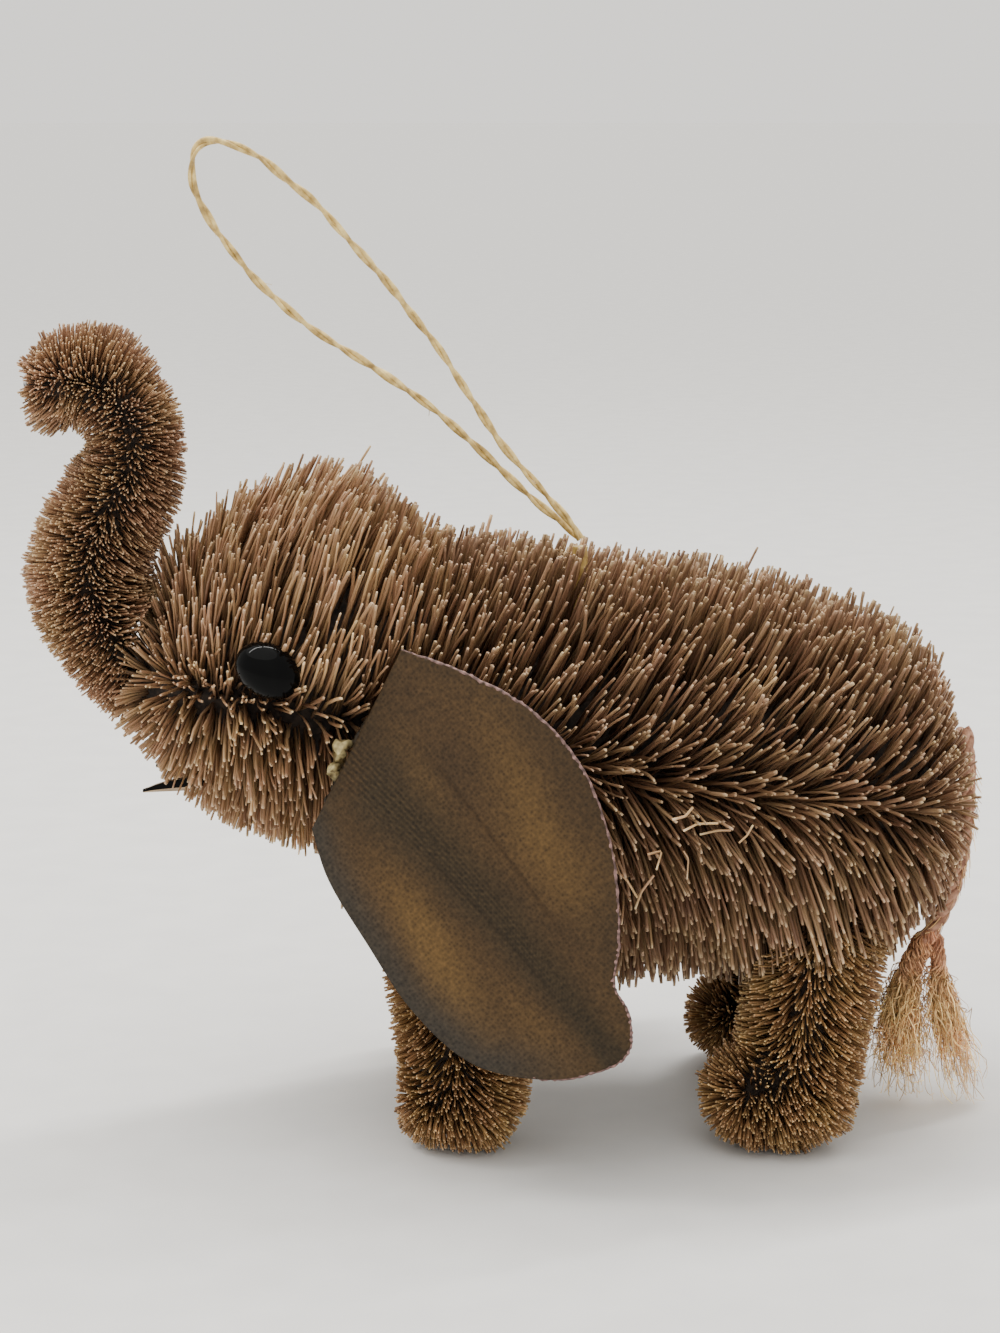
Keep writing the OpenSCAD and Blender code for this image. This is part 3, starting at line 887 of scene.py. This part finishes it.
def hinge_frame(side):
    """The matrix from an ear's own frame: Z up its front edge, X away from it, -Y outwards."""
    joint = next(j for j in frame["joints"] if j["name"] == f"{side}_ear_flap")
    lean = math.atan2(abs(joint["axis"][0]), abs(joint["axis"][2]))
    x, y, z = joint["pos_m"]
    place = Matrix.Translation((x, -abs(y), z))
    left = place @ Matrix.Rotation(lean, 4, "Y") @ Matrix.Rotation(-EAR_FLARE, 4, "Z")
    return to_side(side) @ left


def ear_height(x, z):
    """How far the ear's middle surface stands outwards, at x from the hinge and z along it."""
    bend = (EAR_SPAN**2 / 4 + EAR_BULGE**2) / (2 * EAR_BULGE)
    bulge = np.sqrt(bend**2 - (x - EAR_SPAN / 2) ** 2) - (bend - EAR_BULGE)
    off, wide = rib_gap(x, z)
    rib = 0.45 * MM * np.exp(-((off / (1.3 * wide)) ** 2)) + 0.16 * MM * (pleat_wave(x, z) - 0.5)
    ripple = 0.25 * MM * np.sin(x / (7.5 * MM) + 0.6) * np.sin(z / (9 * MM) + 1.1)
    return bulge + (rib + ripple) * rise(x, 0, 8)


def rib_line(x):
    """Where the ear's rib runs: its height along the hinge at x from it."""
    return 12 * MM - 0.2 * x - 2.6 * x**2


def leather_material():
    """Brown leather with rows of fine pores, pleats along its rib painted with shade in their creases and
    highlights on their ridges, a band along the rib and rim darkened as painted shade, and golden patches
    of painted light.
    """
    material = new_material("ear leather", (0.04, 0.027, 0.016), 0.55, Specular_IOR_Level=0.14)
    base = ramp(noise(material, 2.6, detail=3, stretch=(1, 1, 1.6)),
                [(0.36, (0.032, 0.02, 0.011)), (0.5, (0.045, 0.027, 0.013)),
                 (0.64, (0.058, 0.034, 0.015))])
    # Golden patches of painted light where the curved leather faces the light.
    wear_and_painted_light = mix("MIX", attribute(material, "painted_light"), base, (0.088, 0.052, 0.02))
    cooled = mix("MIX", attribute(material, "cool"), wear_and_painted_light, (0.03, 0.0265, 0.023))
    # A band along the rib and towards the rim, darkened as painted shade.
    rib_band_shade = mix("MIX", attribute(material, "rib"), cooled, (0.026, 0.0185, 0.0105))
    mottle = ramp(noise(material, 160, detail=4),
                  [(0.3, (0.75, 0.74, 0.73)), (0.7, (1.3, 1.27, 1.2))])
    mottled = mix("MULTIPLY", 1.0, rib_band_shade, mottle)
    pores = pattern(material, "ShaderNodeTexVoronoi", 160, turn=(0, 0, 0.35), place="ear_place")
    pores.inputs["Randomness"].default_value = 0.5
    specks = ramp(pores.outputs["Distance"],
                  [(0.12, (0.66, 0.64, 0.62)), (0.34, (1.0, 1.0, 0.98)), (0.7, (1.3, 1.27, 1.18))])
    grained = mix("MULTIPLY", 0.8, mottled, specks)
    # Painted shade in the pleats' creases and painted highlights on their ridges.
    pleats = ramp(attribute(material, "pleat"),
                  [(0, (0.5, 0.46, 0.42)), (0.5, (1, 1, 1)), (1, (1.7, 1.55, 1.25))])
    paint(material, mix("MULTIPLY", 1.0, grained, pleats))
    bump(material, pores.outputs["Distance"], 0.5, 0.15 * MM)
    return material


def rib_gap(x, z):
    """How far a point of the ear lies above its rib, and how wide the pleats run beside it there."""
    return z - rib_line(x), np.interp(x, [0, EAR_SPAN], [3.6 * MM, 1.5 * MM])


def pleat_wave(x, z):
    """The pleats' rise and fall, 0.5 where the leather is plain."""
    off, wide = rib_gap(x, z)
    fade = np.exp(-((off / wide) ** 4)) * fall(x, 54.5, 6)
    wave = 0.5 + np.interp(x, [0, EAR_SPAN], [0.36, 0.2]) * np.cos(2 * math.pi * off / wide * 4) * fade
    crease = bell(off + 0.55 * wide, 0, 0.3) * rise(x, 14, 8) * fall(x, 50, 10)
    second = bell(off + 0.12 * x, 11, 0.35) * rise(x, 9, 6) * fall(x, 46, 10)
    return wave - 0.3 * crease - 0.3 * second


def ear_edge():
    outline = smooth(EAR_OUTLINE, 8)[:-1]
    return np.concatenate([outline, np.linspace(EAR_OUTLINE[-1], EAR_OUTLINE[0], 24)[:-1]])


def flat_ear(edge):
    """The ear's outline filled with small triangles: their corners and faces."""
    step = 0.36 * MM
    lo, hi = edge.min(0), edge.max(0)
    xs, zs = np.meshgrid(np.arange(lo[0], hi[0], step), np.arange(lo[1], hi[1], step))
    inner = np.stack([xs.ravel(), zs.ravel()], axis=1)
    gap = 0.8 * step
    inner = inner[[inside(edge, p) and ((edge - p) ** 2).sum(1).min() > gap**2 for p in inner]]
    corners = [Vector(p) for p in np.concatenate([edge, inner])]
    rim = [(i, (i + 1) % len(edge)) for i in range(len(edge))]
    points, _, faces, *_ = delaunay_2d_cdt(corners, rim, [list(range(len(edge)))], 1, 1e-7)
    return np.array([[p.x, p.y] for p in points]), [tuple(f) for f in faces]


def ear_colours(x, z, edge):
    """How much each of the leather's colours shows at the points of the ear."""
    off, wide = rib_gap(x, z)
    rib = np.exp(-((off / (1.9 * wide)) ** 2)) * np.clip(x / (6 * MM), 0.4, 1)
    from_edge = np.sqrt(((np.stack([x, z], axis=1)[:, None] - edge[None, ::3]) ** 2).sum(-1)).min(1)
    # Patches of painted light.
    painted_light = np.zeros(len(x))
    for (at_x, at_z), size, strength in EAR_PAINTED_LIGHT:
        dx, dz = x - at_x * MM, z - at_z * MM
        away = (dx * 0.87 - dz * 0.5) ** 2 / 2.6**2 + (dx * 0.5 + dz * 0.87) ** 2
        painted_light += strength * np.exp(-away / (size * MM) ** 2)
    lower = np.array(EAR_OUTLINE[7:][::-1])
    return {
        # The rib's band and the rim darken as painted shade, and the pleats carry painted shade and
        # highlights.
        "rib": np.clip(rib + 0.45 * np.exp(-from_edge / (2.5 * MM)), 0, 1),
        "painted_light": np.clip(painted_light, 0, 1),
        "pleat": pleat_wave(x, z),
        "ruffle": 0.5 + 0.5 * np.sin(2 * math.pi * np.arange(len(x)) * 0.37),
        "cool": bell(z - np.interp(x, lower[:, 0], lower[:, 1]), 0, 4.5) * fall(x, 54, 12),
    }


def ear_mesh(name):
    """A curved sheet with its rim, in the ear's own frame."""
    edge = ear_edge()
    flat, fronts = flat_ear(edge)
    x, z = flat[:, 0], flat[:, 1]
    height = ear_height(x, z)
    outer = np.stack([x, -height - EAR_THICKNESS / 2, z], axis=1)
    inner = np.stack([x, -height + EAR_THICKNESS / 2, z], axis=1)
    a, b, c = (outer[fronts[0][k]] for k in range(3))
    if np.cross(b - a, c - a)[1] > 0:
        fronts = [f[::-1] for f in fronts]
    backs = [tuple(i + len(flat) for i in f[::-1]) for f in fronts]
    sides = {(f[k - 1], f[k]) for f in fronts for k in range(3)}
    walls = [(j, i, i + len(flat), j + len(flat)) for i, j in sorted(sides) if (j, i) not in sides]
    mesh = closed_mesh(name, np.concatenate([outer, inner]), fronts + backs + walls)
    mesh.polygons.foreach_set("material_index", [0] * (2 * len(fronts)) + [1] * len(walls))
    mesh.polygons.foreach_set("use_smooth", [True] * (2 * len(fronts)) + [False] * len(walls))
    for label, values in ear_colours(x, z, edge).items():
        write_values(mesh, label, np.tile(values, 2))
    place = np.stack([x, z, 0 * x], axis=1)
    both = np.concatenate([place, place + [0, 0, 10 * MM]]).astype(np.float32)
    mesh.attributes.new("ear_place", "FLOAT_VECTOR", "POINT").data.foreach_set("vector", both.ravel())
    return mesh


def inside(edge, p):
    """Whether the point lies inside the closed edge."""
    a, b = edge, np.roll(edge, -1, axis=0)
    crosses = (a[:, 1] > p[1]) != (b[:, 1] > p[1])
    where = a[:, 0] + (p[1] - a[:, 1]) / np.where(crosses, b[:, 1] - a[:, 1], 1) * (b[:, 0] - a[:, 0])
    return (crosses & (where > p[0])).sum() % 2 == 1


def raw_edge(side):
    """The beaded line of torn fibres round the ear's free edge."""
    name = f"{side}_ear_raw_edge"
    outline = smooth(EAR_OUTLINE[:11], 40)
    run = run_of(outline)[::2]
    x, z = outline[::2, 0], outline[::2, 1]
    path = np.stack([x, -ear_height(x, z) - 0.3 * EAR_THICKNESS, z], axis=1)
    path = path + 0.06 * MM * rng.normal(size=path.shape)
    beads = np.sin(2 * math.pi * run / (0.95 * MM))
    radii = 0.25 * MM * (1 + 0.14 * beads) * np.interp(x, [0, 6 * MM], [0.4, 1])
    radii *= np.interp(run, [run[-1] - 14 * MM, run[-1]], [1, 0.2])
    mesh = strand_mesh(name, path[None], radii[None], 6)
    write_values(mesh, "ruffle", 0.5 + 0.5 * on_tubes(beads[None], 6))
    set_in_place(mesh, hinge_frame(side), side)
    return link(mesh, name, EAR_EDGE, f"{side}_ear", "ear_leather")


def make_ears():
    for side in SIDES:
        node = f"{side}_ear"
        mesh = ear_mesh(f"{node}_leather")
        set_in_place(mesh, hinge_frame(side), side)
        ear = link(mesh, f"{node}_leather", [EAR_LEATHER, EAR_EDGE], node, "ear_leather", node)
        raw_edge(side)


def make_ear_glue():
    """A dark bead behind the ear's front edge, with lumps of amber glue low down in front of it."""
    stations, sides_round = 120, 14
    for side in SIDES:
        name = f"{side}_ear_glue_bead"
        z = np.linspace(1, 29.5, stations) * MM
        path = np.stack([np.full(stations, 0.2 * MM), np.full(stations, 2.2 * MM), z], axis=1)
        path[:, :2] += 0.35 * MM * wander(path, 4 * MM)[:, :2]
        lumps = np.zeros(stations)
        for high, size in ((12.8, 0.9), (11.3, 0.7), (9.2, 0.8)):
            lumps = np.maximum(lumps, bell(z, high, size))
        path[:, 0] -= 2.1 * MM * lumps * (1 + 0.6 * wander(path, 3 * MM)[:, 0])
        path[:, 1] -= 1.9 * MM * lumps
        radii = (0.45 + 0.12 * wander(path, 3 * MM)[:, 0] + 0.35 * lumps) * MM
        radii[[0, -1]] *= 0.4
        mesh = strand_mesh(name, path[None], radii[None], sides_round)
        amber = np.clip(lumps * 1.6 - 0.3, 0, 1)
        write_values(mesh, "amber", on_tubes(amber[None], sides_round))
        places = places_of(mesh)
        places += 0.22 * MM * wander(places, 1.1 * MM)
        mesh.vertices.foreach_set("co", places.ravel())
        set_in_place(mesh, hinge_frame(side), side)
        link(mesh, name, GLUE, "elephant", "glue", f"{side}_ear_glue")


# ---- Eyes and tusks ----

EYE_LONG, EYE_SHORT, EYE_HIGH = 10.5 * MM, 8 * MM, 3.5 * MM
EYE_TILT = math.radians(28)
EYE_TURN = math.radians(10)
EYE_LIFT = math.radians(11)


def eye_frame(side):
    """The matrix from an eye's own frame: X along the oval, and Z outwards from its flat back."""
    lo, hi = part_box("left_eye")
    left = Matrix.Rotation(-EYE_TURN, 4, "Z") @ Matrix.Rotation(math.pi / 2 - EYE_LIFT, 4, "X")
    outwards = left @ Vector((0, 0, 1))
    place = Matrix.Translation((lo + hi) / 2 - outwards * EYE_HIGH / 2)
    return to_side(side) @ (place @ left @ Matrix.Rotation(-EYE_TILT, 4, "Z"))


def make_eyes():
    """Oval domes with a short straight rim."""
    rounds, rings, rim = 64, 14, 0.12
    points = []
    for ring in range(rings):
        up = math.pi / 2 * ring / rings
        for turn in (2 * math.pi * k / rounds for k in range(rounds)):
            points.append((EYE_LONG / 2 * math.cos(up) * math.cos(turn),
                           EYE_SHORT / 2 * math.cos(up) * math.sin(turn),
                           EYE_HIGH * (rim + (1 - rim) * math.sin(up))))
    base = len(points)
    points += [(x, y, 0) for x, y, _ in points[:rounds]]
    top = len(points)
    points.append((0, 0, EYE_HIGH))
    faces = walls_between(rings, rounds)
    last = (rings - 1) * rounds
    for k in range(rounds):
        after = (k + 1) % rounds
        faces.append((last + k, last + after, top))
        faces.append((base + k, base + after, after, k))
    faces.append(tuple(base + k for k in reversed(range(rounds))))
    for side in SIDES:
        mesh = closed_mesh(f"{side}_eye_dome", points, faces)
        set_in_place(mesh, eye_frame(side), side)
        link(mesh, f"{side}_eye_dome", EYE_BLACK, "elephant", "eye_gloss", f"{side}_eye")


def make_tusks():
    """Strips folded lengthwise into a trough that narrows to a point, its inside painted black as the
    trough's shade, with a tan edge.
    """
    stations = 14
    shaded_walls = (0, 4, 5)
    lo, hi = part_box("left_tusk")
    high = hi.z - lo.z
    thick = 0.35 * MM
    points = []
    for i in range(stations):
        t = i / (stations - 1)
        wide = 2.6 * MM * (1 - t**2.2) ** 0.7 + 0.25 * MM
        x = hi.x + (lo.x - hi.x) * t
        y = hi.y - 1.6 * MM + (lo.y + 0.3 * MM - hi.y + 1.6 * MM) * t
        z = lo.z + 0.15 * high + 0.1 * high * (1 - t)
        section = [(-0.25 * wide, 0.85 * wide), (-0.3 * wide, 0.3 * wide), (0, 0),
                   (0.5 * wide, 0.8 * wide), (0.5 * wide - thick, 0.8 * wide),
                   (0, thick * 1.6), (thick - 0.25 * wide, 0.85 * wide)]
        points += [(x, y + dy, z + dz) for dy, dz in section]
    corners = len(section)
    walls = walls_between(stations, corners)
    ends = [tuple(reversed(range(corners))), tuple((stations - 1) * corners + k for k in range(corners))]
    # The inner walls take the polished black as painted shade of the trough.
    inner = [int(wall % corners in shaded_walls) for wall in range(len(walls))] + [0, 0]
    for side in SIDES:
        mesh = closed_mesh(f"{side}_tusk_strip", points, walls + ends, smooth_faces=False)
        mesh.polygons.foreach_set("material_index", inner)
        set_in_place(mesh, to_side(side), side)
        link(mesh, f"{side}_tusk_strip", [TUSK_STRIP, EYE_BLACK], "elephant", "tusk_strip",
             f"{side}_tusk")


# ---- Materials of the pieces ----


def edge_material():
    """The ear's raw edge: pinkish fibres that catch the light in small beads."""
    material = new_material("ear raw edge", (0.3, 0.2, 0.16), 0.7)
    beaded = ramp(attribute(material, "ruffle"),
                  [(0.2, (0.085, 0.05, 0.044)), (0.8, (0.27, 0.165, 0.145))])
    wear_and_painted_light = ramp(noise(material, 150), [(0.3, (0.5, 0.45, 0.45)), (0.7, (1.2, 1.1, 1.1))])
    paint(material, mix("MULTIPLY", 1.0, beaded, wear_and_painted_light))
    return material


def glue_material():
    """Set glue: amber where it stands in a lump, and near black everywhere else, painted shade for the
    shadowed hinge where the bead lies.
    """
    material = new_material("set glue", (0.3, 0.22, 0.08), 0.5, Specular_IOR_Level=0.3)
    clouds = noise(material, 60)
    # Near black: painted shade of the shadowed hinge.
    painted_shade_dark = ramp(clouds, [(0.4, (0.01, 0.007, 0.004)), (0.7, (0.05, 0.035, 0.018))])
    amber = ramp(clouds, [(0.36, (0.1, 0.065, 0.02)), (0.6, (0.6, 0.5, 0.24))])
    paint(material, mix("MIX", attribute(material, "amber"), painted_shade_dark, amber))
    return material


def wire_material():
    material = new_material("iron wire", (0.2, 0.19, 0.18), 0.45, Metallic=0.9)
    twist = pattern(material, "ShaderNodeTexWave", 40, turn=(0, 0.6, 0)).outputs["Fac"]
    colour_between(material, twist, [(0.2, (0.08, 0.075, 0.07)), (0.8, (0.3, 0.29, 0.28))])
    bump(material, twist, 0.6, 0.2 * MM)
    return material


def finish_cad_nodes():
    """Gives the CAD nodes that still show the look of what they are made of."""
    wires = [n for n in frame["nodes"] if n.endswith("_wire")] + ["trunk_binding"]
    looks = {node: IRON for node in wires}
    looks.update(loop_knot=RAFFIA, tail_knot=TAIL_TWINE, left_eye_glue=GLUE, right_eye_glue=GLUE)
    for node, material in looks.items():
        for slot in frame["nodes"][node].material_slots:
            slot.material = material


RAFFIA = cloudy_material("raffia", (0.55, 0.42, 0.2), 0.42, 60,
                         [(0.3, (0.25, 0.15, 0.035)), (0.48, (0.56, 0.385, 0.12)),
                          (0.68, (0.82, 0.63, 0.25))], detail=4)
TAIL_TWINE = cloudy_material("tail twine", (0.56, 0.31, 0.2), 0.75, 90,
                             [(0.32, (0.2, 0.085, 0.05)), (0.68, (0.56, 0.31, 0.2))],
                             detail=5, relief=0.2 * MM)
TASSEL_FIBRE = fibre_material("tassel fibre", (0.52, 0.25, 0.16), (1.0, 0.74, 0.42), (1.0, 0.84, 0.53),
                              roughness=0.6)
BODY_FIBRE = fibre_material("body fibre", (0.05, 0.026, 0.014), (0.285, 0.18, 0.113), (0.5, 0.375, 0.26))
HEAD_FIBRE = fibre_material("head fibre", (0.045, 0.023, 0.012), (0.42, 0.272, 0.165), (0.6, 0.46, 0.32))
TRUNK_FIBRE = fibre_material("trunk fibre", (0.085, 0.045, 0.026), (0.42, 0.265, 0.165), (0.6, 0.44, 0.3))
LEG_FIBRE = fibre_material("leg fibre", (0.045, 0.024, 0.01), (0.34, 0.205, 0.1), (0.5, 0.35, 0.2))
# Near-black pile inside the brushes: painted shade of the gaps between the bristles.
PAINTED_SHADE_PILE = cloudy_material("dark pile", (0.02, 0.012, 0.008), 0.9, 120,
                            [(0.35, (0.006, 0.0035, 0.0025)), (0.7, (0.034, 0.02, 0.012))])
EAR_LEATHER = leather_material()
EAR_EDGE = edge_material()
GLUE = glue_material()
EYE_BLACK = cloudy_material("polished black", (0.0012, 0.0012, 0.0015), 0.03, 20,
                            [(0.3, (0.0008, 0.0008, 0.001)), (0.7, (0.002, 0.0022, 0.0022))],
                            Specular_IOR_Level=0.065)
TUSK_STRIP = cloudy_material("tusk strip", (0.34, 0.24, 0.14), 0.5, 50,
                             [(0.35, (0.2, 0.13, 0.07)), (0.65, (0.42, 0.3, 0.18))], stretch=(0.2, 1, 1))
IRON = wire_material()

make_camera()
make_loop()
make_tail()
make_brushes()
make_ear_glue()
make_ears()
make_eyes()
make_tusks()
finish_cad_nodes()
make_lights()
make_floor()
